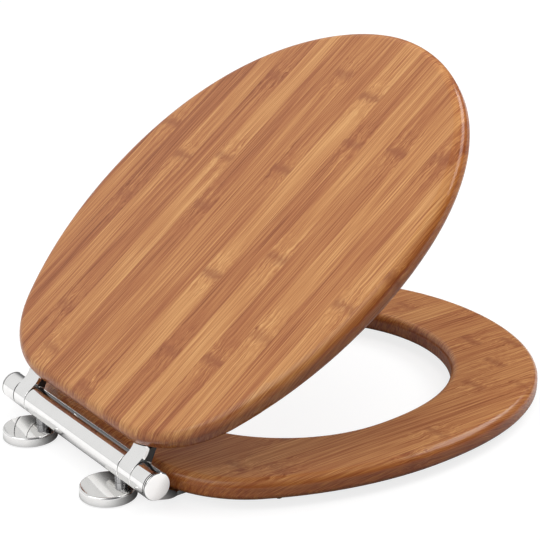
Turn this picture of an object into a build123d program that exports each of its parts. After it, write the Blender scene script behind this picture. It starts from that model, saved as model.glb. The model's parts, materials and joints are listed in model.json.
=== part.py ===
"""Wooden toilet seat: lid and ring on a chromed bar hinge with two soft-close dampers.

Millimetres. The origin lies midway between the two fixing holes, on the top face of the bowl.
+Z is up, the nose of the seat points along -Y and the hinge bar lies along X. Left is -X.
The ring lies down on its buffers and the lid stands half open.
"""

import os
from math import atan2, cos, degrees, radians, sin, sqrt, tan

from build123d import *

os.makedirs("parts", exist_ok=True)

# Places of the hinge over the bowl
FIXING_HOLE = 6.5  # diameter, clears an M6 bolt
AXIS_AHEAD = 12.7  # from the fixing holes forward to the hinge axis
AXIS_HEIGHT = 23.4  # hinge axis above the bowl
LID_OPEN_ANGLE = 36.8  # degrees between the lid and the ring as the seat stands

# Outline of the ring and the lid behind the widest line
REAR_RADIUS = 292.0  # side, from the widest line to the back corner
CORNER_RADIUS = 96.5  # back corner

# Ring
RING_WIDTH = 372.0
RING_LENGTH = 402.8
RING_BACK = 16.0  # from the hinge axis forward to the back edge
RING_WIDEST = 190.4  # from the back edge forward to the widest line
RING_NOSE_SWEEP = 78.0  # pull of the front curve across the nose
RING_SIDE_SWEEP = 168.7  # pull of the front curve along the side
RING_THICKNESS = 17.0
RING_TOP_ROUND = 7.0
RING_BOTTOM_ROUND = 5.0

# Opening of the ring
OPENING_WIDTH = 246.5
OPENING_LENGTH = 272.1
OPENING_BACK = 57.6  # from the back edge of the ring forward
OPENING_NOSE_SWEEP = 52.6
OPENING_SIDE_SWEEP = 113.5
OPENING_TOP_ROUND = 6.5
OPENING_BOTTOM_ROUND = 4.0

# Lid
LID_WIDTH = 368.3
LID_LENGTH = 402.0
LID_BACK = 14.6  # from the hinge axis forward to the back edge
LID_WIDEST = 191.5  # from the back edge forward to the widest line
LID_NOSE_SWEEP = 74.8
LID_SIDE_SWEEP = 151.2
LID_THICKNESS = 17.0
LID_UNDERSIDE = 11.2  # underside above the hinge axis, with the lid closed
LID_TOP_ROUND = 8.0
LID_BOTTOM_ROUND = 5.0

# Hinge bar: a fixed tube, then a lid barrel, a seat barrel and a cap at each end
BAR_DIAMETER = 22.8
TUBE_LENGTH = 142.5
TUBE_WALL = 1.5
LID_BARREL = 17.1
SEAT_BARREL = 17.5
JOINT_GAP = 0.8  # between two barrels on the bar
BARREL_ROUND = 0.5
WASHER_THICKNESS = 0.5
CAP_THICKNESS = 3.0
CAP_RIM = 1.3  # part of the thickness that is as wide as the barrel
CAP_STEP = 0.4  # from the rim in to the face
CAP_DOME = 0.5  # rise of the cap's face
CAP_GAP = 0.3  # between a cap and its barrel
CAP_ROUND = 0.7
CAP_RIM_ROUND = 0.3
CAP_SPIGOT = 2.5

# Dampers inside the tube, their shafts, and the bushes that the shafts run in
DAMPER_LENGTH = 62.0
DAMPER_INSET = 0.3  # end of a damper inside the end of the tube
SHAFT_DIAMETER = 10.0
SHAFT_FLATS = 8.0
JOURNAL_DIAMETER = 8.0
JOURNAL_FLATS = 6.5
SHAFT_DEPTH = 40.0  # from the end of the tube into the damper
SHAFT_END_GAP = 0.5  # between the end of a shaft and what stops it
BUSH_DIAMETER = 14.0

# Fixing discs
DISC_DIAMETER = 44.3
DISC_HEIGHT = 8.1
DISC_WALL = 1.2
DISC_COVER = 1.7
DISC_DISH = 0.5  # hollow in the top face
DISC_RIM = 1.5
DISC_LIFT = 0.4  # lower rim of the cover above the bowl
PLATE_THICKNESS = 3.0
GASKET_THICKNESS = 1.5
POST_INSET = 10.75  # from the end of the tube in to the axis of a post and to its fixing hole
POST_DIAMETER = 12.0
POST_SPIGOT = 8.0  # diameter of the end in the base plate
POST_TENON = 6.0  # diameter of the end in the tube wall

# Arms screwed under the wood, measured from the hinge axis
LEAF_THICKNESS = 3.5
LEAF_END_ROUND = 8.0
LID_LEAF_LENGTH = 62.0
LID_NECK_FLAT = 7.0  # level stretch on top of the neck
LID_NECK_LAP = 8.0  # curve of the neck carried on past the back edge of the lid
LID_NECK_RISE = 9.0  # height of that curve at its end
LID_NECK_SHOULDER = 8.0  # degrees above the axis, where the underside of the neck leaves the barrel
SEAT_LEAF_LENGTH = 72.0
SEAT_LEAF_WIDTH = 18.0
SEAT_LEAF_INSET = 8.0  # outer edge of the leaf inside the outer end of its barrel
SEAT_NECK_SLOPE = 22.0  # degrees, underside of the neck
SEAT_NECK_SHOULDER = 35.0  # degrees below the axis, where the neck leaves the front of the barrel
SEAT_NECK_BEND = 30.0  # radius from the slope to the leaf
SEAT_NECK_FRONT = 24.0  # where the neck is as narrow as the leaf
SEAT_NECK_LAP = 8.0  # neck carried on past that line

# Wood screws, in one row on each leaf
SCREW_HEAD = 7.0
SCREW_SHANK = 3.5
SCREW_DEPTH = 11.0  # into the wood
SCREW_TIP = 2.5
SCREW_PITCH = 11.5
SCREW_COUNT = 3
SCREW_END_MARGIN = 9.0  # last screw from the end of its leaf

# Buffers, placed from the hinge axis and pointing at the middle of the ring
SEAT_BUFFER_HEIGHT = 7.3
SEAT_BUFFER_LENGTH = 24.0
LID_BUFFER_LENGTH = 18.0
BUFFER_WIDTH = 6.0
BUFFER_ROUND = 1.2
BUFFER_PEG = 4.0
BUFFER_PEG_DEPTH = 8.0
REAR_BUFFER_X = 134.4
REAR_BUFFER_AHEAD = 93.3
FRONT_BUFFER_X = 106.0
FRONT_BUFFER_AHEAD = 344.0

# Clearances
RUNNING_FIT = 0.05  # radial, shaft in a bore that it turns in
SEATING_FIT = 0.05  # around pieces that are fixed together
WASHER_FIT = 0.2  # radial, washer on a shaft
EDGE_FIT = 0.3  # between the neck of an arm and the edge of the wood
COVER_FIT = 0.2  # cover of a disc around its plate and its post
CLOSED_GAP = 0.3  # between the lid's buffers and the ring when the lid is down

SIDES = {"left": -1, "right": 1}
BAR_RADIUS = BAR_DIAMETER / 2
TUBE_END = TUBE_LENGTH / 2
TUBE_BORE = BAR_RADIUS - TUBE_WALL
FIXING_X = TUBE_END - POST_INSET  # from the middle to a fixing hole


def hinge_frame(angle):
    """Plane on the hinge axis, turned nose up: x along the bar, y to the back, z out of the top."""
    turn = radians(angle)
    axis_point = (0, -AXIS_AHEAD, AXIS_HEIGHT)
    return Plane(origin=axis_point, x_dir=(1, 0, 0), z_dir=(0, sin(turn), cos(turn)))


SEAT_FRAME = hinge_frame(0)
LID_FRAME = hinge_frame(LID_OPEN_ANGLE)
LID_UP = Axis(LID_FRAME.origin, LID_FRAME.z_dir)

# Levels above the hinge axis, in the frame of the ring and in that of the lid
RING_UNDERSIDE = SEAT_BUFFER_HEIGHT - AXIS_HEIGHT
LID_BUFFER_HEIGHT = LID_UNDERSIDE - RING_UNDERSIDE - RING_THICKNESS - CLOSED_GAP

# Stations along the bar, from its middle outwards
LID_BARREL_START = TUBE_END + JOINT_GAP
LID_BARREL_END = LID_BARREL_START + LID_BARREL
SEAT_BARREL_START = LID_BARREL_END + JOINT_GAP
SEAT_BARREL_END = SEAT_BARREL_START + SEAT_BARREL
SHAFT_START = TUBE_END - SHAFT_DEPTH
SHAFT_END = SEAT_BARREL_END - CAP_SPIGOT - SHAFT_END_GAP
JOURNAL_START = LID_BARREL_END + JOINT_GAP / 2

# Lines of the leaves and their screws
SEAT_LEAF_OUTER = SEAT_BARREL_END - SEAT_LEAF_INSET
SEAT_LEAF_X = SEAT_LEAF_OUTER - SEAT_LEAF_WIDTH / 2
LID_LEAF_X = LID_BARREL_START + LID_BARREL / 2


def across(frame, side, inner, outer):
    """Plane across the bar, (y, z) of the frame, at the -X end of a span on one side, and its length."""
    start = min(side * inner, side * outer)
    plane = Plane(origin=frame.origin + frame.x_dir * start, x_dir=frame.y_dir, z_dir=frame.x_dir)
    return plane, outer - inner


def turned_about(frame, x, y, z):
    """Plane to turn a (radius, height) profile in, and its axis, at a point of a frame."""
    centre = frame.from_local_coords((x, y, z))
    plane = Plane(origin=centre, x_dir=frame.x_dir, z_dir=-frame.y_dir)
    return plane, Axis(centre, frame.z_dir)


def save(piece, name):
    """Label a finished piece and write it."""
    piece.part.label = name
    export_step(piece.part, f"parts/{name}.step")


def front_curve(half_width, nose_y, widest_y, nose_sweep, side_sweep):
    """Right half of an outline from its nose to its widest line, in the line being drawn."""
    Bezier((0, nose_y), (nose_sweep, nose_y), (half_width, widest_y - side_sweep), (half_width, widest_y))


def seat_outline(half_width, back, length, widest, nose_sweep, side_sweep):
    """Outline of a front curve and tangent arcs, with a straight back edge ahead of the hinge axis."""
    widest_y = -back - widest
    rear_x = half_width - REAR_RADIUS
    corner_y = -back - CORNER_RADIUS
    corner_x = rear_x + sqrt((REAR_RADIUS - CORNER_RADIUS) ** 2 - (corner_y - widest_y) ** 2)
    turn = degrees(atan2(corner_y - widest_y, corner_x - rear_x))
    with BuildLine() as outline:
        front_curve(half_width, -back - length, widest_y, nose_sweep, side_sweep)
        CenterArc((rear_x, widest_y), REAR_RADIUS, 0, turn)
        CenterArc((corner_x, corner_y), CORNER_RADIUS, turn, 90 - turn)
        Line((corner_x, -back), (0, -back))
        mirror(about=Plane.YZ)
    return outline.edges()


def opening_outline(half_width, back, length):
    """Outline of the opening: a half circle at the back and a front curve."""
    widest_y = -back - half_width
    with BuildLine() as outline:
        front_curve(half_width, -back - length, widest_y, OPENING_NOSE_SWEEP, OPENING_SIDE_SWEEP)
        CenterArc((0, widest_y), half_width, 0, 90)
        mirror(about=Plane.YZ)
    return outline.edges()


RING_OUTLINE = seat_outline(
    RING_WIDTH / 2, RING_BACK, RING_LENGTH, RING_WIDEST, RING_NOSE_SWEEP, RING_SIDE_SWEEP
)
LID_OUTLINE = seat_outline(
    LID_WIDTH / 2, LID_BACK, LID_LENGTH, LID_WIDEST, LID_NOSE_SWEEP, LID_SIDE_SWEEP
)
OPENING_OUTLINE = opening_outline(OPENING_WIDTH / 2, RING_BACK + OPENING_BACK, OPENING_LENGTH)


def screw_row(x, leaf_length):
    """Places of the screws of one leaf, counted back from its end."""
    last = SCREW_END_MARGIN - leaf_length
    return [(x, last + SCREW_PITCH * i) for i in range(SCREW_COUNT)]


SEAT_SCREWS = {side: screw_row(side * SEAT_LEAF_X, SEAT_LEAF_LENGTH) for side in SIDES.values()}
LID_SCREWS = {side: screw_row(side * LID_LEAF_X, LID_LEAF_LENGTH) for side in SIDES.values()}
SEAT_BUFFERS = {
    f"{row}_{hand}_seat_buffer": (side * x, -ahead)
    for row, x, ahead in (
        ("rear", REAR_BUFFER_X, REAR_BUFFER_AHEAD),
        ("front", FRONT_BUFFER_X, FRONT_BUFFER_AHEAD),
    )
    for hand, side in SIDES.items()
}
LID_BUFFERS = {
    f"{hand}_lid_buffer": (side * FRONT_BUFFER_X, -FRONT_BUFFER_AHEAD) for hand, side in SIDES.items()
}


def drill(face_plane, places, diameter, depth):
    """Blind holes in the wooden piece being made, up from its underside."""
    with BuildSketch(face_plane) as holes:
        with Locations(*places):
            Circle(diameter / 2 + SEATING_FIT)
    extrude(holes.sketch, amount=depth + SEATING_FIT, mode=Mode.SUBTRACT)


def drill_underside(frame, level, screw_rows, buffers):
    """Screw holes and buffer holes of the lid or the ring."""
    underside = frame.offset(level)
    for places in screw_rows.values():
        drill(underside, places, SCREW_SHANK, SCREW_DEPTH)
    drill(underside, buffers.values(), BUFFER_PEG, BUFFER_PEG_DEPTH)


# Ring with its opening
with BuildPart() as seat_ring:
    with BuildSketch(SEAT_FRAME.offset(RING_UNDERSIDE)):
        make_face(RING_OUTLINE)
        make_face(OPENING_OUTLINE, mode=Mode.SUBTRACT)
    extrude(amount=RING_THICKNESS)
    fillet(seat_ring.faces().sort_by(Axis.Z)[-1].outer_wire().edges(), RING_TOP_ROUND)
    fillet(seat_ring.faces().sort_by(Axis.Z)[-1].inner_wires()[0].edges(), OPENING_TOP_ROUND)
    fillet(seat_ring.faces().sort_by(Axis.Z)[0].outer_wire().edges(), RING_BOTTOM_ROUND)
    fillet(seat_ring.faces().sort_by(Axis.Z)[0].inner_wires()[0].edges(), OPENING_BOTTOM_ROUND)
    drill_underside(SEAT_FRAME, RING_UNDERSIDE, SEAT_SCREWS, SEAT_BUFFERS)
save(seat_ring, "seat_ring")


# Lid, half open
with BuildPart() as lid:
    with BuildSketch(LID_FRAME.offset(LID_UNDERSIDE)):
        make_face(LID_OUTLINE)
    extrude(amount=LID_THICKNESS)
    fillet(lid.faces().sort_by(LID_UP)[-1].edges(), LID_TOP_ROUND)
    fillet(lid.faces().sort_by(LID_UP)[0].edges(), LID_BOTTOM_ROUND)
    drill_underside(LID_FRAME, LID_UNDERSIDE, LID_SCREWS, LID_BUFFERS)
save(lid, "lid")


def buffer(name, frame, place, level, height, length):
    """Oblong rubber buffer under a wooden face, with a peg up into it."""
    x, y = place
    heading = degrees(atan2(y + RING_BACK + RING_WIDEST, x))
    underside = frame.offset(level)
    with BuildPart() as pad:
        with BuildSketch(underside):
            with Locations(place):
                SlotOverall(length, BUFFER_WIDTH, rotation=heading)
        extrude(amount=-height)
        fillet(pad.faces().sort_by(Axis(frame.origin, frame.z_dir))[0].edges(), BUFFER_ROUND)
        with BuildSketch(underside):
            with Locations(place):
                Circle(BUFFER_PEG / 2)
        extrude(amount=BUFFER_PEG_DEPTH)
    save(pad, name)


for name, place in SEAT_BUFFERS.items():
    buffer(name, SEAT_FRAME, place, RING_UNDERSIDE, SEAT_BUFFER_HEIGHT, SEAT_BUFFER_LENGTH)
for name, place in LID_BUFFERS.items():
    buffer(name, LID_FRAME, place, LID_UNDERSIDE, LID_BUFFER_HEIGHT, LID_BUFFER_LENGTH)


def screw_outline(fit):
    """Half section of a countersunk screw, from its head at height 0 up to its tip, grown by a fit."""
    head = SCREW_HEAD / 2 + fit
    shank = SCREW_SHANK / 2 + fit
    tip = LEAF_THICKNESS + SCREW_DEPTH
    with BuildLine() as outline:
        Polyline((0, 0), (head, 0), (shank, head - shank), (shank, tip - SCREW_TIP), (0, tip), close=True)
    return outline.edges()


def screws(name, frame, places, level):
    """Row of screws with their heads flush under a leaf."""
    with BuildPart() as row:
        for place in places:
            plane, axis = turned_about(frame, *place, level - LEAF_THICKNESS)
            with BuildSketch(plane):
                make_face(screw_outline(0))
            revolve(axis=axis)
    save(row, name)


def cut_screw_holes(frame, places, level):
    """Countersunk holes for a row of screws in the leaf being made."""
    for place in places:
        plane, axis = turned_about(frame, *place, level - LEAF_THICKNESS)
        with BuildSketch(plane) as section:
            make_face(screw_outline(SEATING_FIT))
        revolve(section.sketch, axis=axis, mode=Mode.SUBTRACT)


def round_section(diameter, fit=0.0):
    """Round section, grown by a fit."""
    Circle(diameter / 2 + fit)


def flatted_section(diameter, flats, fit=0.0):
    """Round section with two flats, grown by a fit."""
    Circle(diameter / 2 + fit)
    Rectangle(2 * diameter, flats + 2 * fit, mode=Mode.INTERSECT)


def lid_arm(name, side, bore):
    """Barrel on the bar, with a flared neck up to the edge of the lid and a leaf screwed under it."""
    leaf_base = LID_UNDERSIDE - LEAF_THICKNESS
    neck_start = (-LID_NECK_FLAT, BAR_RADIUS)
    neck_end = (-LID_BACK - LID_NECK_LAP, BAR_RADIUS + LID_NECK_RISE)
    shoulder = radians(LID_NECK_SHOULDER)
    neck_base = (-BAR_RADIUS * cos(shoulder), BAR_RADIUS * sin(shoulder))
    plane, length = across(LID_FRAME, side, LID_BARREL_START, LID_BARREL_END)
    with BuildPart() as arm:
        with BuildSketch(plane):
            Circle(BAR_RADIUS)
        extrude(amount=length)
        fillet(arm.edges().filter_by(GeomType.CIRCLE), BARREL_ROUND)
        with BuildSketch(plane):
            with BuildLine():
                Line((0, BAR_RADIUS), neck_start)
                TangentArc(neck_start, neck_end, tangent=(-1, 0))
                Polyline(neck_end, (neck_end[0], leaf_base), neck_base, (0, 0), (0, BAR_RADIUS))
            make_face()
        extrude(amount=length)
        with BuildSketch(LID_FRAME.offset(leaf_base)):
            with Locations((side * LID_LEAF_X, -LID_LEAF_LENGTH / 2)):
                leaf = Rectangle(LID_BARREL, LID_LEAF_LENGTH)
            fillet(leaf.vertices().group_by(Axis.Y)[0], LEAF_END_ROUND)
        extrude(amount=LEAF_THICKNESS)
        with BuildSketch(LID_FRAME.offset(LID_UNDERSIDE)):
            make_face(LID_OUTLINE)
            offset(amount=EDGE_FIT)
        extrude(amount=LID_THICKNESS, mode=Mode.SUBTRACT)
        with BuildSketch(plane):
            bore()
        extrude(amount=length, mode=Mode.SUBTRACT)
        cut_screw_holes(LID_FRAME, LID_SCREWS[side], LID_UNDERSIDE)
    save(arm, name)


def seat_arm(name, side, bore):
    """Barrel on the bar, with a neck sloping down to a leaf screwed under the ring."""
    leaf_base = RING_UNDERSIDE - LEAF_THICKNESS
    slope = radians(SEAT_NECK_SLOPE)
    shoulder = radians(SEAT_NECK_SHOULDER)
    heel = (BAR_RADIUS * sin(slope), -BAR_RADIUS * cos(slope))
    toe = (heel[0] - (heel[1] - leaf_base) / tan(slope), leaf_base)
    neck_top = (-BAR_RADIUS * cos(shoulder), -BAR_RADIUS * sin(shoulder))
    neck_end = min(toe[0], -SEAT_NECK_FRONT) - SEAT_NECK_LAP
    inner, outer, leaf_outer = side * SEAT_BARREL_START, side * SEAT_BARREL_END, side * SEAT_LEAF_OUTER
    plane, length = across(SEAT_FRAME, side, SEAT_BARREL_START, SEAT_BARREL_END)
    socket = across(SEAT_FRAME, side, SHAFT_END, SEAT_BARREL_END)
    with BuildPart() as arm:
        with BuildSketch(plane):
            with BuildLine():
                FilletPolyline(heel, toe, (neck_end, leaf_base), radius=SEAT_NECK_BEND)
                Polyline(
                    (neck_end, leaf_base),
                    (neck_end, RING_UNDERSIDE),
                    (-SEAT_NECK_FRONT, RING_UNDERSIDE),
                    neck_top,
                    (0, 0),
                    heel,
                )
            make_face()
        extrude(amount=length)
        with BuildSketch(SEAT_FRAME.offset(leaf_base)):
            with BuildLine():
                Polyline(
                    (inner, BAR_RADIUS),
                    (outer, BAR_RADIUS),
                    (outer, 0),
                    (leaf_outer, -SEAT_NECK_FRONT),
                    (leaf_outer, neck_end),
                    (inner, neck_end),
                    close=True,
                )
            make_face()
        extrude(amount=BAR_RADIUS - leaf_base, mode=Mode.INTERSECT)
        with BuildSketch(SEAT_FRAME.offset(RING_UNDERSIDE)):
            make_face(RING_OUTLINE)
            offset(amount=EDGE_FIT)
        extrude(amount=RING_THICKNESS, mode=Mode.SUBTRACT)
        with BuildSketch(plane):
            Circle(BAR_RADIUS)
        extrude(amount=length)
        with BuildSketch(SEAT_FRAME.offset(leaf_base)):
            with Locations((side * SEAT_LEAF_X, -(SEAT_NECK_FRONT + SEAT_LEAF_LENGTH) / 2)):
                leaf = Rectangle(SEAT_LEAF_WIDTH, SEAT_LEAF_LENGTH - SEAT_NECK_FRONT)
            fillet(leaf.vertices().group_by(Axis.Y)[0], LEAF_END_ROUND)
        extrude(amount=LEAF_THICKNESS)
        with BuildSketch(plane):
            bore()
        extrude(amount=length, mode=Mode.SUBTRACT)
        with BuildSketch(socket[0]):
            round_section(BUSH_DIAMETER, SEATING_FIT)
        extrude(amount=socket[1], mode=Mode.SUBTRACT)
        cut_screw_holes(SEAT_FRAME, SEAT_SCREWS[side], RING_UNDERSIDE)
    save(arm, name)


# The left shaft turns the lid and carries the ring on a bush, the right one does it the other way round
lid_arm("left_lid_arm", SIDES["left"], lambda: flatted_section(SHAFT_DIAMETER, SHAFT_FLATS, SEATING_FIT))
lid_arm("right_lid_arm", SIDES["right"], lambda: round_section(BUSH_DIAMETER, SEATING_FIT))
seat_arm("left_seat_arm", SIDES["left"], lambda: round_section(BUSH_DIAMETER, SEATING_FIT))
seat_arm(
    "right_seat_arm",
    SIDES["right"],
    lambda: flatted_section(JOURNAL_DIAMETER, JOURNAL_FLATS, SEATING_FIT),
)
for hand, side in SIDES.items():
    screws(f"{hand}_lid_arm_screws", LID_FRAME, LID_SCREWS[side], LID_UNDERSIDE)
    screws(f"{hand}_seat_arm_screws", SEAT_FRAME, SEAT_SCREWS[side], RING_UNDERSIDE)


# Fixed tube of the hinge bar, with a hole in its underside for each post
with BuildPart() as hinge_tube:
    with BuildSketch(across(SEAT_FRAME, 1, -TUBE_END, TUBE_END)[0]):
        Circle(BAR_RADIUS)
        Circle(TUBE_BORE, mode=Mode.SUBTRACT)
    extrude(amount=TUBE_LENGTH)
    fillet(hinge_tube.edges().filter_by(GeomType.CIRCLE).group_by(SortBy.RADIUS)[-1], BARREL_ROUND)
    with BuildSketch(SEAT_FRAME):
        with Locations(*[(side * FIXING_X, 0) for side in SIDES.values()]):
            Circle(POST_TENON / 2 + SEATING_FIT)
    extrude(amount=-BAR_RADIUS, mode=Mode.SUBTRACT)
save(hinge_tube, "hinge_tube")


def sleeve(name, frame, side, inner, outer, diameter, bore):
    """Plain round sleeve around the bar's axis: a bush or a washer."""
    plane, length = across(frame, side, inner, outer)
    with BuildPart() as ring:
        with BuildSketch(plane):
            Circle(diameter / 2)
            Circle(bore / 2, mode=Mode.SUBTRACT)
        extrude(amount=length)
    save(ring, name)


def damper(name, side):
    """Damper housing held in the tube, with a blind bore for its shaft."""
    end = TUBE_END - DAMPER_INSET
    plane, length = across(SEAT_FRAME, side, end - DAMPER_LENGTH, end)
    bore_plane, depth = across(SEAT_FRAME, side, SHAFT_START - SHAFT_END_GAP, end)
    with BuildPart() as housing:
        with BuildSketch(plane):
            Circle(TUBE_BORE - SEATING_FIT)
        extrude(amount=length)
        with BuildSketch(bore_plane):
            round_section(SHAFT_DIAMETER, RUNNING_FIT)
        extrude(amount=depth, mode=Mode.SUBTRACT)
    save(housing, name)


def shaft(name, frame, side, spans):
    """Stepped shaft along the bar: each span has an inner end, an outer end and a section."""
    with BuildPart() as bar:
        for inner, outer, section in spans:
            plane, length = across(frame, side, inner, outer)
            with BuildSketch(plane):
                section()
            extrude(amount=length)
    save(bar, name)


damper("lid_damper", SIDES["left"])
damper("seat_damper", SIDES["right"])
shaft(
    "lid_damper_shaft",
    LID_FRAME,
    SIDES["left"],
    (
        (SHAFT_START, LID_BARREL_START, lambda: round_section(SHAFT_DIAMETER)),
        (LID_BARREL_START, JOURNAL_START, lambda: flatted_section(SHAFT_DIAMETER, SHAFT_FLATS)),
        (JOURNAL_START, SHAFT_END, lambda: round_section(JOURNAL_DIAMETER)),
    ),
)
shaft(
    "seat_damper_shaft",
    SEAT_FRAME,
    SIDES["right"],
    (
        (SHAFT_START, JOURNAL_START, lambda: round_section(SHAFT_DIAMETER)),
        (JOURNAL_START, SHAFT_END, lambda: flatted_section(JOURNAL_DIAMETER, JOURNAL_FLATS)),
    ),
)
sleeve(
    "left_seat_bush",
    SEAT_FRAME,
    SIDES["left"],
    SEAT_BARREL_START,
    SHAFT_END,
    BUSH_DIAMETER,
    JOURNAL_DIAMETER + 2 * RUNNING_FIT,
)
sleeve(
    "right_lid_bush",
    LID_FRAME,
    SIDES["right"],
    LID_BARREL_START,
    LID_BARREL_END,
    BUSH_DIAMETER,
    SHAFT_DIAMETER + 2 * RUNNING_FIT,
)
for hand, side in SIDES.items():
    for place, station in (("inner", TUBE_END), ("outer", LID_BARREL_END)):
        middle = station + JOINT_GAP / 2
        sleeve(
            f"{hand}_{place}_washer",
            SEAT_FRAME,
            side,
            middle - WASHER_THICKNESS / 2,
            middle + WASHER_THICKNESS / 2,
            BAR_DIAMETER - 2 * BARREL_ROUND,
            SHAFT_DIAMETER + 2 * WASHER_FIT,
        )


def end_cap(name, side):
    """Domed cap with a rim, and a spigot in the end of a seat barrel, turned about the bar's axis."""
    base = SEAT_FRAME.origin + SEAT_FRAME.x_dir * side * (SEAT_BARREL_END + CAP_GAP)
    plane = Plane(origin=base, x_dir=SEAT_FRAME.x_dir * side, z_dir=SEAT_FRAME.y_dir * -side)
    face_radius = BAR_RADIUS - CAP_STEP
    edge = (CAP_THICKNESS - CAP_DOME, face_radius)
    with BuildPart() as cap:
        with BuildSketch(plane) as section:
            with BuildLine():
                TangentArc((CAP_THICKNESS, 0), edge, tangent=(0, 1))
                Polyline(
                    edge,
                    (CAP_RIM, face_radius),
                    (CAP_RIM, BAR_RADIUS),
                    (0, BAR_RADIUS),
                    (0, BUSH_DIAMETER / 2),
                    (-CAP_GAP - CAP_SPIGOT, BUSH_DIAMETER / 2),
                    (-CAP_GAP - CAP_SPIGOT, 0),
                    (CAP_THICKNESS, 0),
                )
            make_face()
            fillet(section.vertices().group_by(Axis.Y)[-2].sort_by(Axis.X)[-1], CAP_ROUND)
            fillet(section.vertices().group_by(Axis.Y)[-1], CAP_RIM_ROUND)
        revolve(axis=Axis(base, SEAT_FRAME.x_dir))
    save(cap, name)


for hand, side in SIDES.items():
    end_cap(f"{hand}_end_cap", side)


def post(name, x):
    """Column between a base plate and the tube, saddled to the tube's underside."""
    plate_top = GASKET_THICKNESS + PLATE_THICKNESS
    tube, length = across(SEAT_FRAME, 1, -TUBE_END, TUBE_END)
    with BuildPart() as column:
        with BuildSketch(Plane.XY.offset(plate_top)):
            with Locations((x, -AXIS_AHEAD)):
                Circle(POST_DIAMETER / 2)
        extrude(amount=AXIS_HEIGHT - plate_top)
        with BuildSketch(tube):
            Circle(BAR_RADIUS + SEATING_FIT)
        extrude(amount=length, mode=Mode.SUBTRACT)
        with BuildSketch(Plane.XY.offset(GASKET_THICKNESS)):
            with Locations((x, -AXIS_AHEAD)):
                Circle(POST_SPIGOT / 2)
        extrude(amount=PLATE_THICKNESS)
        with BuildSketch(Plane.XY.offset(plate_top)):
            with Locations((x, -AXIS_AHEAD)):
                Circle(POST_TENON / 2)
        extrude(amount=AXIS_HEIGHT - TUBE_BORE - SEATING_FIT - plate_top)
    save(column, name)


def disc_cover(name, x):
    """Chromed cover over a base plate: a shallow cup with a dished top, and a hole for the post."""
    plane, axis = turned_about(Plane.XY, x, 0, 0)
    radius = DISC_DIAMETER / 2
    ceiling = DISC_HEIGHT - DISC_COVER
    with BuildPart() as cover:
        with BuildSketch(plane):
            with BuildLine():
                TangentArc((0, DISC_HEIGHT - DISC_DISH), (radius - DISC_RIM, DISC_HEIGHT), tangent=(1, 0))
                CenterArc((radius - DISC_RIM, DISC_HEIGHT - DISC_RIM), DISC_RIM, 0, 90)
                Polyline(
                    (radius, DISC_HEIGHT - DISC_RIM),
                    (radius, DISC_LIFT),
                    (radius - DISC_WALL, DISC_LIFT),
                    (radius - DISC_WALL, ceiling),
                    (0, ceiling),
                    (0, DISC_HEIGHT - DISC_DISH),
                )
            make_face()
        revolve(axis=axis)
        with BuildSketch(Plane.XY):
            with Locations((x, -AXIS_AHEAD)):
                Circle(POST_DIAMETER / 2 + COVER_FIT)
        extrude(amount=DISC_HEIGHT, mode=Mode.SUBTRACT)
    save(cover, name)


def under_disc(name, x, level, thickness, holes):
    """Round plate or gasket inside a cover, with holes given as (place ahead, diameter)."""
    with BuildPart() as plate:
        with BuildSketch(Plane.XY.offset(level)):
            with Locations((x, 0)):
                Circle(DISC_DIAMETER / 2 - DISC_WALL - COVER_FIT)
            for ahead, diameter in holes:
                with Locations((x, -ahead)):
                    Circle(diameter / 2, mode=Mode.SUBTRACT)
        extrude(amount=thickness)
    save(plate, name)


for hand, side in SIDES.items():
    fixing_x = side * FIXING_X
    post(f"{hand}_post", fixing_x)
    disc_cover(f"{hand}_disc_cover", fixing_x)
    under_disc(f"{hand}_gasket", fixing_x, 0, GASKET_THICKNESS, ((0, FIXING_HOLE),))
    under_disc(
        f"{hand}_base_plate",
        fixing_x,
        GASKET_THICKNESS,
        PLATE_THICKNESS,
        ((0, FIXING_HOLE), (AXIS_AHEAD, POST_SPIGOT + 2 * SEATING_FIT)),
    )
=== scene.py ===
import json
from math import cos, radians, sin

import bpy
from mathutils import Matrix, Vector

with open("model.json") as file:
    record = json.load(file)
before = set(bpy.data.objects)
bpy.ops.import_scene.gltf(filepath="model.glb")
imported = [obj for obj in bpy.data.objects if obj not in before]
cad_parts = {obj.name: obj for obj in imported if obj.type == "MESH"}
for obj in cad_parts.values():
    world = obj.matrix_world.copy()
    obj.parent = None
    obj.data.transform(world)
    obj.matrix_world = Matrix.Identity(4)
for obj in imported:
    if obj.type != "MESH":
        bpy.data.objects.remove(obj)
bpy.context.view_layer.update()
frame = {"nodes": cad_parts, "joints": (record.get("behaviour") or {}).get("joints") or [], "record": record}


def srgb(r, g, b):
    """Linear colour of an 8-bit sRGB one."""
    def linear(c):
        c /= 255
        return c / 12.92 if c <= 0.04045 else ((c + 0.055) / 1.055) ** 2.4
    return (linear(r), linear(g), linear(b), 1.0)


def darker(colour, share):
    """A colour with its channels cut to a share."""
    return tuple(c * share for c in colour[:3]) + (1.0,)


# The hinge axis, and the angle of the lid above the ring as the part stands
joints = {joint["name"]: joint for joint in frame["joints"]}
HINGE_POINT = joints["lid_hinge"]["pos_m"]
LID_ANGLE = -joints["lid_hinge"]["range_deg"][0]

# The photograph's camera, in degrees and metres, for a square frame
CAMERA_AZIMUTH = 233.64
CAMERA_ELEVATION = 21.18
CAMERA_DISTANCE = 1.38
CAMERA_TARGET = (0.0, -0.196, 0.1173)
FOCAL_PIXELS = 1680
FRAME_PIXELS = 540
SENSOR_WIDTH = 36

# Top faces of the boards, in mm above the hinge axis, with the lid closed
LID_TOP = 28.2
RING_TOP = 0.9

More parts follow.
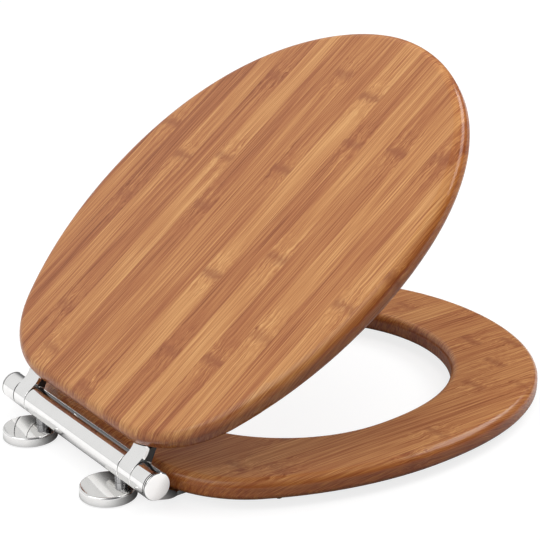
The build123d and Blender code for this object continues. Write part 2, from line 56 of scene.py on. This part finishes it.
# Bamboo strips, in mm across the board, counted from the left end of the hinge
STRIP = 23.35
STRIPS = 16
MIDDLE_STRIP = 8
MIDDLE_EDGE = -14.3  # left side of the middle strip
GLUE_LINE = (0.485, 0.5)  # its start and end, in strips from the middle of one
GLUE_STRENGTH = 0.22
STRIP_SPREAD = 0.16  # chance part of a strip's tone
LAYER_STEP = 7.31  # between the noise of two strips
EDGE_COSINES = (0.25, 0.85)  # of the slope: edge below the first, face above the second
EDGE_CALM = 0.2  # share of the grain that is lost on the edge

# Nodes of each strip, in mm ahead of the hinge axis
FAR = 600.0  # beyond the nose: no node
NODE_REACH = 26.0  # how far a node disturbs the fibres
MARK_FADE = (0.5, 6.5)  # where a node's mark starts to fade and where it ends
MARK_STRENGTH = (0.4, 0.68)  # range among the strips
LID_NODES = (
    (217, FAR), (180, FAR), (320, FAR), (130, FAR), (96, 312), (191, FAR), (86, 306), (156, 351),
    (262, 26), (364, FAR), (205, FAR), (253, 38), (74, 341), (239, FAR), (184, FAR), (264, FAR),
)
RING_NODES = (
    (182, FAR), (223, FAR), (87, 337), (305, 64), (122, 351), (160, 392), (366, 140), (64, 301),
    (190, 418), (95, 322), (372, 150), (240, 40), (312, 86), (178, 390), (262, FAR), (226, FAR),
)

# Streaks in the wood: size in mm across and along the fibres, and strength, which is a tone,
# or mm for SWAY and RAGGED
SWAY = (5.0, 16.0, 9.0)
BROAD = (8.0, 240.0, 0.42)
MIDDLE = (1.6, 85.0, 1.1)
FINE = (0.6, 60.0, 1.5)
FLECKS = (1.8, 8.0, 0.8)
RAGGED = (2.6, 6.5, 11.0)
STREAK_DEPTH = 5.0  # times the size across

WOOD_TONES = (
    (0.0, srgb(138, 77, 43)),
    (0.3, srgb(169, 102, 61)),
    (0.7, srgb(198, 137, 83)),
    (1.0, srgb(220, 165, 106)),
)
WOOD_MEAN = srgb(190, 128, 72)
GLUE = srgb(150, 88, 50)
NODE_MARK = srgb(148, 84, 52)
# Painted shade: multiplied into the boards' edges, darker and redder there
RIM_PAINTED_SHADE = (0.95, 0.69, 0.45, 1.0)
WOOD_ROUGH = (0.44, 0.36)  # in dark and in pale fibres

CHROME = (0.88, 0.875, 0.865, 1.0)
# Painted shade: chrome darkened for the post that stands in the shade under the bar
PAINTED_SHADE_CHROME = (0.3, 0.3, 0.305, 1.0)
STEEL = (0.6, 0.61, 0.63, 1.0)
# Painted shade of the hollow below a strap's bend
HOLLOW_SHADE = srgb(34, 33, 33)
# Painted shade in the gaps at the joints of the bar
GAP_SHADE = (0.03, 0.03, 0.03, 1.0)
PLASTIC = srgb(30, 30, 32)
RUBBER = srgb(46, 40, 36)

# Roughness: ranges, its spread on moulded pieces, and that of the painted hollow shade under a strap
POLISHED = (0.045, 0.09)
DULLED = (0.12, 0.2)
TURNED = (0.28, 0.45)
MOULDED_SPREAD = 0.06
HOLLOW_SHADE_ROUGH = 0.35

TURNING_PER_MM = 9.0  # marks of the lathe along the bar

# The lid's straps, in mm in the lid's frame, from the hinge axis
STRAP_TOP = 11.4
STRAP_FLAT = 7.0  # where the bend starts
STRAP_BEND = 18.02  # radius of the bend
STRAP_THICK = 3.0
STRAP_REACH = 24.0
STRAP_SOFT = 0.15
BARREL_RADIUS = 11.4
BARREL_RIM = (0.2, 0.5)  # beyond the radius, where the painted hollow shade starts

# Painted shade lines at the joints of the end caps, in mm from the middle of the bar
JOINT_SHADE_LINES = ((107.2, 108.1), (108.85, 109.5))
GAP_SHADE_SOFT = 0.1
GAP_SHADE_STRENGTH = 0.9
CAP_EDGE = 25  # degrees, from which an edge of an end cap is sharp

# Floor, in metres: its grey and its glow as a source of light, in the chrome and to the camera
FLOOR_SIZE = 40
FLOOR_DROP = 0.0006
FLOOR_GREY = 0.12
GREY_MIRRORED = 0.81
GREY_SEEN = 0.15
GLOW_MIRRORED = 0.17
GLOW_SEEN = 0.8
# Painted contact shade: how far and how strongly the floor darkens near the seat in the chrome
PAINTED_SHADE_REACH = 0.03
PAINTED_SHADE_POWER = 1.5

# Studio
LAMP_AIM = (0.0, -0.2, 0.1)
SKY_SLOPE = (0.8, 1.0, 1.2)  # weights of x, y and z
SKY_STRENGTH = 0.9
CEILING = (0.7, 0.86)  # heights between which the sky gets dim
CEILING_DIM = 0.35
SKY_TONES = (
    (0.0, (0.12, 0.12, 0.124, 1)),
    (0.568, (0.15, 0.15, 0.155, 1)),
    (0.62, (0.26, 0.26, 0.265, 1)),
    (0.672, (0.52, 0.52, 0.52, 1)),
    (0.727, (0.84, 0.84, 0.84, 1)),
    (0.8, (0.95, 0.95, 0.95, 1)),
    (1.0, (1.0, 1.0, 1.0, 1)),
)


class Graph:
    """A node tree that is built by calls, most of them giving back a socket."""

    def __init__(self, tree):
        self.tree = tree
        tree.nodes.clear()

    def node(self, kind, **settings):
        made = self.tree.nodes.new(kind)
        for key, value in settings.items():
            setattr(made, key, value)
        return made

    def put(self, socket, value):
        if isinstance(value, bpy.types.NodeSocket):
            self.tree.links.new(value, socket)
        else:
            socket.default_value = value

    def math(self, operation, *values):
        made = self.node("ShaderNodeMath", operation=operation)
        for socket, value in zip(made.inputs, values):
            self.put(socket, value)
        return made.outputs[0]

    def vector(self, x, y, z):
        made = self.node("ShaderNodeCombineXYZ")
        for socket, value in zip(made.inputs, (x, y, z)):
            self.put(socket, value)
        return made.outputs[0]

    def parts(self, vector):
        made = self.node("ShaderNodeSeparateXYZ")
        self.put(made.inputs[0], vector)
        return made.outputs

    def channels(self, colour):
        made = self.node("ShaderNodeSeparateColor")
        self.put(made.inputs[0], colour)
        return made.outputs

    def noise(self, vector, scale=1.0, detail=2.0):
        made = self.node("ShaderNodeTexNoise", noise_dimensions="3D")
        self.put(made.inputs["Vector"], vector)
        made.inputs["Scale"].default_value = scale
        made.inputs["Detail"].default_value = detail
        made.inputs["Roughness"].default_value = 0.5
        return made.outputs["Fac"]

    def ramp(self, factor, stops, interpolation="LINEAR"):
        made = self.node("ShaderNodeValToRGB")
        made.color_ramp.interpolation = interpolation
        elements = made.color_ramp.elements
        while len(elements) < len(stops):
            elements.new(0.5)
        for element, (place, colour) in zip(elements, stops):
            element.position = place
            element.color = colour
        self.put(made.inputs[0], factor)
        return made.outputs[0]

    def mix(self, factor, a, b, blend="MIX"):
        made = self.node("ShaderNodeMix", data_type="RGBA", blend_type=blend)
        self.put(made.inputs["Factor"], factor)
        self.put(made.inputs[6], a)
        self.put(made.inputs[7], b)
        return made.outputs[2]

    def remap(self, value, low, high, to_low, to_high):
        made = self.node("ShaderNodeMapRange")
        for socket, part in zip(made.inputs, (value, low, high, to_low, to_high)):
            self.put(socket, part)
        return made.outputs[0]

    def bump(self, height, strength, distance):
        made = self.node("ShaderNodeBump")
        made.inputs["Strength"].default_value = strength
        made.inputs["Distance"].default_value = distance
        self.put(made.inputs["Height"], height)
        return made.outputs[0]


def material(name, colour):
    """A new material with a principled shader, its graph and the shader."""
    made = bpy.data.materials.new(name)
    made.use_nodes = True
    made.diffuse_color = colour
    graph = Graph(made.node_tree)
    shader = graph.node("ShaderNodeBsdfPrincipled")
    output = graph.node("ShaderNodeOutputMaterial")
    graph.tree.links.new(shader.outputs[0], output.inputs[0])
    return made, graph, shader


def millimetres(graph, turn=0.0):
    """Object coordinates in millimetres from the hinge axis, turned back by an angle about it."""
    place = graph.node("ShaderNodeMapping", vector_type="TEXTURE")
    place.inputs["Location"].default_value = HINGE_POINT
    place.inputs["Rotation"].default_value = (-radians(turn), 0, 0)
    place.inputs["Scale"].default_value = (0.001, 0.001, 0.001)
    graph.put(place.inputs["Vector"], graph.node("ShaderNodeTexCoord").outputs["Object"])
    return place.outputs[0]


def bamboo(name, turn, top, nodes, seed, contrast, level, slant):
    """Glued bamboo strips along the seat, with fibres and nodes and painted shade on the edges, under a
    clear lacquer.
    """
    made, g, shader = material(name, WOOD_MEAN)
    x, y, height = g.parts(millimetres(g, turn))
    ahead = g.math("MULTIPLY", y, -1.0)

    # Place across the board, with the strips carried on over its edge
    normal = g.node("ShaderNodeTexCoord").outputs["Normal"]
    depth = g.math("SUBTRACT", top, height)
    u = g.math("MULTIPLY_ADD", g.parts(normal)[0], depth, x)

    # How far the surface turns from the face of the board to its edge
    facing = g.node("ShaderNodeVectorMath", operation="DOT_PRODUCT")
    g.put(facing.inputs[0], normal)
    facing.inputs[1].default_value = (0.0, sin(radians(turn)), cos(radians(turn)))
    edge = g.remap(g.math("ABSOLUTE", facing.outputs["Value"]), *EDGE_COSINES, 1.0, 0.0)

    # The strip, the place inside it and its chances
    across = g.math("DIVIDE", g.math("SUBTRACT", u, MIDDLE_EDGE), STRIP)
    strip = g.math("FLOOR", across)
    inside = g.math("SUBTRACT", across, strip)
    dice = g.node("ShaderNodeTexWhiteNoise", noise_dimensions="1D")
    g.put(dice.inputs["W"], g.math("ADD", strip, seed))
    tone_chance, _, mark_chance = g.channels(dice.outputs["Color"])
    pale = g.math("FLOORED_MODULO", strip, 2.0)
    own_layer = g.math("MULTIPLY_ADD", strip, LAYER_STEP, seed)

    # Signed distance to the nearer node of the strip
    stops = [(i / STRIPS, (a / FAR, b / FAR, 0.0, 1.0)) for i, (a, b) in enumerate(nodes)]
    count = g.math("DIVIDE", g.math("ADD", strip, MIDDLE_STRIP + 0.5), STRIPS)
    places = g.channels(g.ramp(count, stops, "CONSTANT"))
    first = g.math("SUBTRACT", ahead, g.math("MULTIPLY", places[0], FAR))
    second = g.math("SUBTRACT", ahead, g.math("MULTIPLY", places[1], FAR))
    closer = g.math("LESS_THAN", g.math("ABSOLUTE", first), g.math("ABSOLUTE", second))
    along = g.math("MULTIPLY_ADD", g.math("SUBTRACT", first, second), closer, second)
    square = g.math("POWER", g.math("DIVIDE", along, NODE_REACH), 2.0)
    near = g.math("EXPONENT", g.math("MULTIPLY", square, -1.0))

    def streaks(kind, place, detail=2.0):
        across_mm, along_mm, strength = kind
        layer = g.math("ADD", g.math("DIVIDE", height, across_mm * STREAK_DEPTH), own_layer)
        vector = g.vector(
            g.math("DIVIDE", place, across_mm), g.math("DIVIDE", ahead, along_mm), layer
        )
        swing = g.math("SUBTRACT", g.noise(vector, detail=detail), 0.5)
        return g.math("MULTIPLY", swing, strength)

    # Fibres: long streaks, wavy and flecked beside a node, calmer on the edge
    fibre = g.math("ADD", u, g.math("MULTIPLY", streaks(SWAY, u), near))
    grain = g.math("ADD", streaks(MIDDLE, fibre), streaks(FINE, fibre))
    grain = g.math("ADD", grain, g.math("MULTIPLY", streaks(FLECKS, fibre), near))
    grain = g.math("MULTIPLY", grain, g.math("MULTIPLY_ADD", edge, -EDGE_CALM, 1.0))

    # Tone: pale and dark strips in turn, a slow change across the board, chance and fibres
    tone = g.math("MULTIPLY_ADD", pale, 2.0 * contrast, level - contrast)
    tone = g.math("MULTIPLY_ADD", u, slant, tone)
    chance = g.math("MULTIPLY", g.math("SUBTRACT", tone_chance, 0.5), STRIP_SPREAD)
    for part in (chance, streaks(BROAD, fibre), grain):
        tone = g.math("ADD", tone, part)
    colour = g.ramp(tone, WOOD_TONES)
    border = g.math("ABSOLUTE", g.math("SUBTRACT", inside, 0.5))
    colour = g.mix(g.remap(border, *GLUE_LINE, 0.0, GLUE_STRENGTH), colour, GLUE)

    # Node marks: ragged dark smears across the strip
    smear = g.math("ABSOLUTE", g.math("ADD", along, streaks(RAGGED, u, 3.0)))
    mark = g.remap(smear, *MARK_FADE, 1.0, 0.0)
    mark = g.math("MULTIPLY", mark, g.remap(mark_chance, 0.0, 1.0, *MARK_STRENGTH))
    colour = g.mix(mark, colour, NODE_MARK)
    # Painted shade: the edges of the board are darkened and reddened by a multiply
    colour = g.mix(edge, colour, RIM_PAINTED_SHADE, "MULTIPLY")

    g.put(shader.inputs["Base Color"], colour)
    g.put(shader.inputs["Roughness"], g.remap(grain, -0.3, 0.3, *WOOD_ROUGH))
    g.put(shader.inputs["Normal"], g.bump(grain, strength=0.05, distance=0.0003))
    shader.inputs["Specular IOR Level"].default_value = 0.05
    shader.inputs["Coat Weight"].default_value = 0.5
    shader.inputs["Coat Roughness"].default_value = 0.14
    return made


def polish(g, shader, place, colour, rough):
    """Colour and roughness of plated metal with an uneven polish; the shader gets its ripple."""
    cloud = g.noise(place, scale=0.11, detail=3.0)
    ripple = g.noise(place, scale=0.05, detail=1.0)
    g.put(shader.inputs["Normal"], g.bump(ripple, strength=0.02, distance=0.0002))
    shine = g.mix(cloud, colour, darker(colour, share=0.94))
    return shine, g.remap(cloud, 0.25, 0.75, *rough)


def plated(name, colour, rough, shade_lines=()):
    """Plated metal, with painted shade lines at the joints round the bar."""
    made, g, shader = material(name, colour)
    place = millimetres(g)
    shine, roughness = polish(g, shader, place, colour, rough)
    if shade_lines:
        out = g.math("ABSOLUTE", g.parts(place)[0])
    # Painted shade: dark bands over the gaps at the joints
    for low, high in shade_lines:
        off = g.math("ABSOLUTE", g.math("SUBTRACT", out, (low + high) / 2))
        half = (high - low) / 2
        gap_shade = g.remap(off, half - GAP_SHADE_SOFT, half + GAP_SHADE_SOFT, GAP_SHADE_STRENGTH, 0.0)
        shine = g.mix(gap_shade, shine, GAP_SHADE)
    g.put(shader.inputs["Base Color"], shine)
    g.put(shader.inputs["Roughness"], roughness)
    shader.inputs["Metallic"].default_value = 1.0
    return made


def strapped(name, turn, colour, rough):
    """Plated strap that bends from its barrel up to the lid, with painted shade of a hollow below the bend.
    """
    made, g, shader = material(name, colour)
    place = millimetres(g, turn)
    _, y, height = g.parts(place)
    ahead = g.math("MULTIPLY", y, -1.0)

    # Height of the strap's top: level, then along the bend
    run = g.math("MAXIMUM", g.math("SUBTRACT", ahead, STRAP_FLAT), 0.0)
    run = g.math("MINIMUM", run, STRAP_BEND)
    fall = g.math("SQRT", g.math("SUBTRACT", STRAP_BEND ** 2, g.math("MULTIPLY", run, run)))
    top = g.math("SUBTRACT", STRAP_TOP + STRAP_BEND, fall)

    # The painted hollow shade: below the strap, outside the barrel and short of the lid
    depth = g.math("SUBTRACT", top, height)
    below = g.remap(depth, STRAP_THICK - STRAP_SOFT, STRAP_THICK + STRAP_SOFT, 0.0, 1.0)
    square = g.math("ADD", g.math("MULTIPLY", ahead, ahead), g.math("MULTIPLY", height, height))
    radius = g.math("SQRT", square)
    inner, outer = (BARREL_RADIUS + rim for rim in BARREL_RIM)
    outside = g.remap(radius, inner, outer, 0.0, 1.0)
    short = g.math("LESS_THAN", ahead, STRAP_REACH)
    hollow_shade = g.math("MULTIPLY", g.math("MULTIPLY", below, outside), short)

    shine, roughness = polish(g, shader, place, colour, rough)
    # Painted shade: the hollow below the bend is drawn as a dark, dull, non-metal patch
    g.put(shader.inputs["Base Color"], g.mix(hollow_shade, shine, HOLLOW_SHADE))
    g.put(shader.inputs["Metallic"], g.math("SUBTRACT", 1.0, hollow_shade))
    g.put(shader.inputs["Roughness"], g.remap(hollow_shade, 0.0, 1.0, roughness, HOLLOW_SHADE_ROUGH))
    return made


def turned_steel(name, colour):
    """Plain steel with fine turning marks across the bar."""
    made, g, shader = material(name, colour)
    x, y, z = g.parts(millimetres(g))
    marks = g.noise(g.vector(g.math("MULTIPLY", x, TURNING_PER_MM), y, z))
    shade = g.ramp(marks, ((0.2, darker(colour, share=0.8)), (0.8, colour)))
    g.put(shader.inputs["Base Color"], shade)
    g.put(shader.inputs["Roughness"], g.remap(marks, 0.2, 0.8, *TURNED))
    g.put(shader.inputs["Normal"], g.bump(marks, strength=0.15, distance=0.0001))
    shader.inputs["Metallic"].default_value = 1.0
    return made


def moulded(name, colour, rough, grain_per_mm):
    """Moulded rubber or plastic with a fine surface grain."""
    made, g, shader = material(name, colour)
    place = millimetres(g)
    grain = g.noise(place, scale=grain_per_mm, detail=3.0)
    cloud = g.noise(place, scale=0.12)
    g.put(shader.inputs["Base Color"], g.mix(cloud, colour, darker(colour, share=0.7)))
    smooth, coarse = rough - MOULDED_SPREAD, rough + MOULDED_SPREAD
    g.put(shader.inputs["Roughness"], g.remap(grain, 0.3, 0.7, smooth, coarse))
    g.put(shader.inputs["Normal"], g.bump(grain, strength=0.25, distance=0.0001))
    return made


# Looks by node, by the piece without its left or right, or by the record's material slot
looks = {
    "chrome": plated("chrome", CHROME, POLISHED),
    "seat_arm": plated("chrome_arm", CHROME, POLISHED, JOINT_SHADE_LINES),
    "lid_arm": strapped("chrome_strap", LID_ANGLE, CHROME, POLISHED),
    "end_cap": plated("chrome_end", CHROME, POLISHED, JOINT_SHADE_LINES),
    # Painted shade: the post's chrome is darkened to the shade under the bar
    "post": plated("painted_shade_chrome", PAINTED_SHADE_CHROME, DULLED),
    "steel": turned_steel("steel", STEEL),
    "plastic": moulded("plastic", PLASTIC, rough=0.5, grain_per_mm=1.6),
    "rubber": moulded("rubber", RUBBER, rough=0.68, grain_per_mm=2.2),
    "lid": bamboo(
        "bamboo_lid", turn=LID_ANGLE, top=LID_TOP, nodes=LID_NODES,
        seed=3.0, contrast=0.11, level=0.52, slant=-0.0007,
    ),
    "seat_ring": bamboo(
        "bamboo_ring", turn=0.0, top=RING_TOP, nodes=RING_NODES,
        seed=41.0, contrast=0.05, level=0.52, slant=0.0,
    ),
}
slots = {part["node"]: part["material_slot"] for part in frame["record"]["subparts"]}
for node, piece in frame["nodes"].items():
    kinds = (node, node.split("_", 1)[-1], slots[node])
    piece.data.materials.clear()
    piece.data.materials.append(looks[next(kind for kind in kinds if kind in looks)])
    # The mesh of an end cap has a wrong normal at the middle of its face
    if node.endswith("end_cap"):
        piece.modifiers.new("joined_pole", "WELD").merge_threshold = 1e-6
        piece.modifiers.new("sharp_edges", "EDGE_SPLIT").split_angle = radians(CAP_EDGE)
        piece.modifiers.new("even_normals", "WEIGHTED_NORMAL")


# Floor: white to the camera and in the chrome, with the shadow and, in the chrome, a painted contact shade
# near the seat, and dull as a source of light
bpy.ops.mesh.primitive_plane_add(size=FLOOR_SIZE, location=(0, 0, -FLOOR_DROP))
floor = bpy.context.object
floor.name = "floor"
floor_look, g, shader = material("floor", (0.9, 0.9, 0.9, 1.0))
path = g.node("ShaderNodeLightPath").outputs
seen = path["Is Camera Ray"]
mirrored = g.math("MAXIMUM", path["Is Glossy Ray"], path["Is Transmission Ray"])
# Painted shade: ambient occlusion darkens the floor near the seat as the chrome sees it
painted_contact_shade = g.node("ShaderNodeAmbientOcclusion", samples=8)
painted_contact_shade.inputs["Distance"].default_value = PAINTED_SHADE_REACH
mirrored = g.math("MULTIPLY", mirrored, g.math("POWER", painted_contact_shade.outputs["AO"], PAINTED_SHADE_POWER))
grey = g.math("MULTIPLY_ADD", mirrored, GREY_MIRRORED, FLOOR_GREY)
grey = g.math("MULTIPLY_ADD", seen, GREY_SEEN, grey)
glow = g.math("MULTIPLY", mirrored, GLOW_MIRRORED)
glow = g.math("MULTIPLY_ADD", seen, GLOW_SEEN, glow)
g.put(shader.inputs["Base Color"], grey)
g.put(shader.inputs["Emission Strength"], glow)
shader.inputs["Emission Color"].default_value = (1.0, 1.0, 1.0, 1.0)
shader.inputs["Roughness"].default_value = 0.9
shader.inputs["Specular IOR Level"].default_value = 0.0
floor.data.materials.append(floor_look)


def area_light(name, place, width, height, power):
    """Soft rectangular studio light that faces the seat."""
    lamp = bpy.data.lights.new(name, "AREA")
    lamp.shape = "RECTANGLE"
    lamp.size, lamp.size_y, lamp.energy = width, height, power
    holder = bpy.data.objects.new(name, lamp)
    holder.location = place
    heading = Vector(LAMP_AIM) - Vector(place)
    holder.rotation_euler = heading.to_track_quat("-Z", "Y").to_euler()
    bpy.context.scene.collection.objects.link(holder)
    return holder


# The front lamp draws the highlight along the rims; the top lamp isn't mirrored
area_light("key", (0.0, 1.4, 1.8), width=2.0, height=2.0, power=18)
top = area_light("top", (-0.6, -0.6, 3.2), width=2.4, height=2.4, power=36)
top.visible_glossy = False
area_light("front", (-0.4, -1.9, 1.65), width=2.2, height=0.9, power=29)

# World: a pale studio, dark low down in front of the seat and dim overhead
world = bpy.data.worlds.new("studio")
bpy.context.scene.world = world
world.use_nodes = True
sky = Graph(world.node_tree)
x, y, z = sky.parts(sky.node("ShaderNodeTexCoord").outputs["Generated"])
slope = sky.math("MULTIPLY", y, SKY_SLOPE[1])
slope = sky.math("MULTIPLY_ADD", z, SKY_SLOPE[2], slope)
slope = sky.math("MULTIPLY_ADD", x, SKY_SLOPE[0], slope)
shade = sky.ramp(sky.remap(slope, -2.0, 2.0, 0.0, 1.0), SKY_TONES)
dim = sky.remap(z, *CEILING, 1.0, CEILING_DIM)
shade = sky.mix(1.0, shade, sky.vector(dim, dim, dim), "MULTIPLY")
backdrop = sky.node("ShaderNodeBackground")
sky.put(backdrop.inputs["Color"], shade)
backdrop.inputs["Strength"].default_value = SKY_STRENGTH
sky.tree.links.new(backdrop.outputs[0], sky.node("ShaderNodeOutputWorld").inputs[0])

# Camera
azimuth, elevation = radians(CAMERA_AZIMUTH), radians(CAMERA_ELEVATION)
back = Vector((sin(azimuth) * cos(elevation), -cos(azimuth) * cos(elevation), sin(elevation)))
right = Vector((cos(azimuth), sin(azimuth), 0))
axes = Matrix((right, back.cross(right), back)).transposed()
lens = bpy.data.cameras.new("camera")
lens.sensor_width = SENSOR_WIDTH
lens.lens = FOCAL_PIXELS / FRAME_PIXELS * SENSOR_WIDTH
camera = bpy.data.objects.new("camera", lens)
place = Vector(CAMERA_TARGET) + back * CAMERA_DISTANCE
camera.matrix_world = Matrix.Translation(place) @ axes.to_4x4()
bpy.context.scene.collection.objects.link(camera)
bpy.context.scene.camera = camera
bpy.context.scene.view_settings.view_transform = "Standard"
